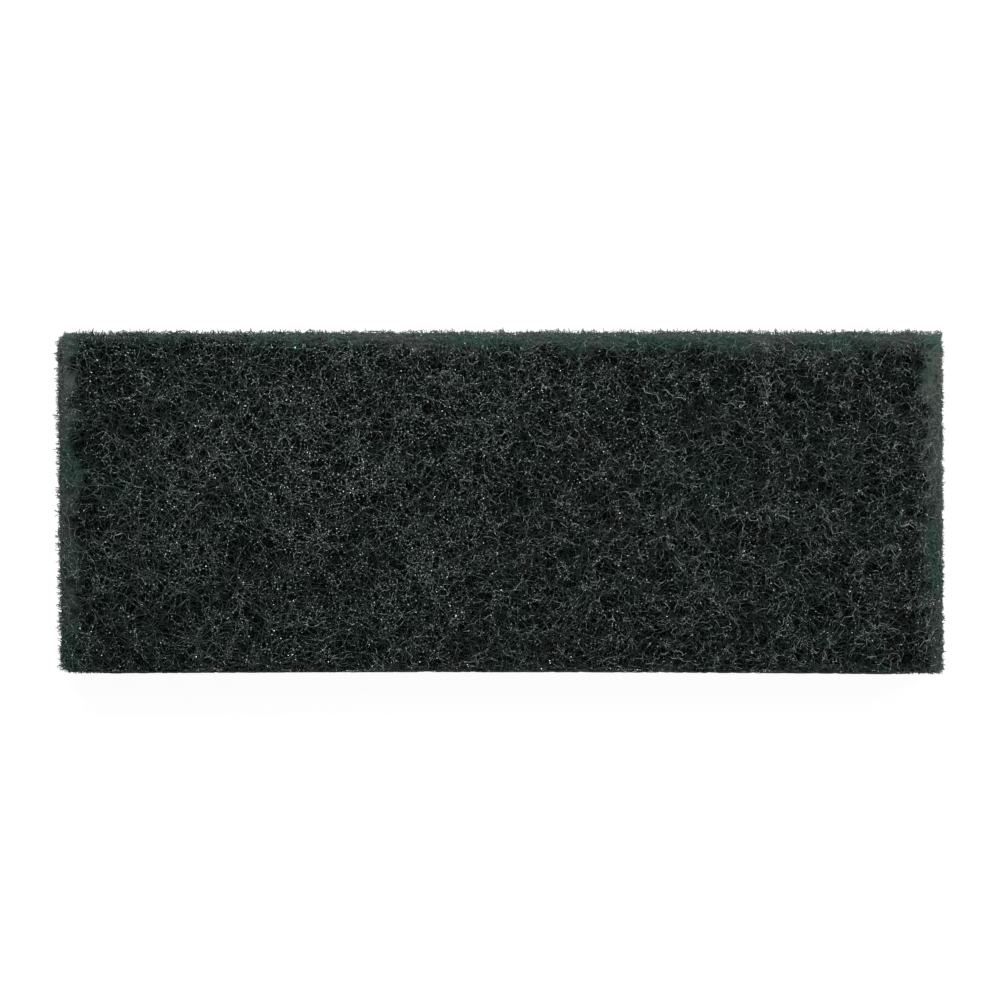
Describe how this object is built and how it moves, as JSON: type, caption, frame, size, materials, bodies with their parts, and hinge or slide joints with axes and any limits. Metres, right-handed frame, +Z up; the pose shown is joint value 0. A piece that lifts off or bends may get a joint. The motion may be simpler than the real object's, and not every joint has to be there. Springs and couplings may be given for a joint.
{
  "type": "abrasive hand pad",
  "caption": "Thick rectangular hand pad of open, springy non-woven web, coated with abrasive grit and cut with soft edges.",
  "frame": {"origin": "middle of the face that the pad lies on", "axes": "+X along the length, +Y along the width, +Z up out of the upper face"},
  "size_m": [0.2498, 0.0958, 0.02],
  "materials": {
    "web": "resin-coated nylon fibres with grit, dark green to black, satin"
  },
  "bodies": {
    "root": {"abrasive_web": "web"}
  },
  "joints": []
}
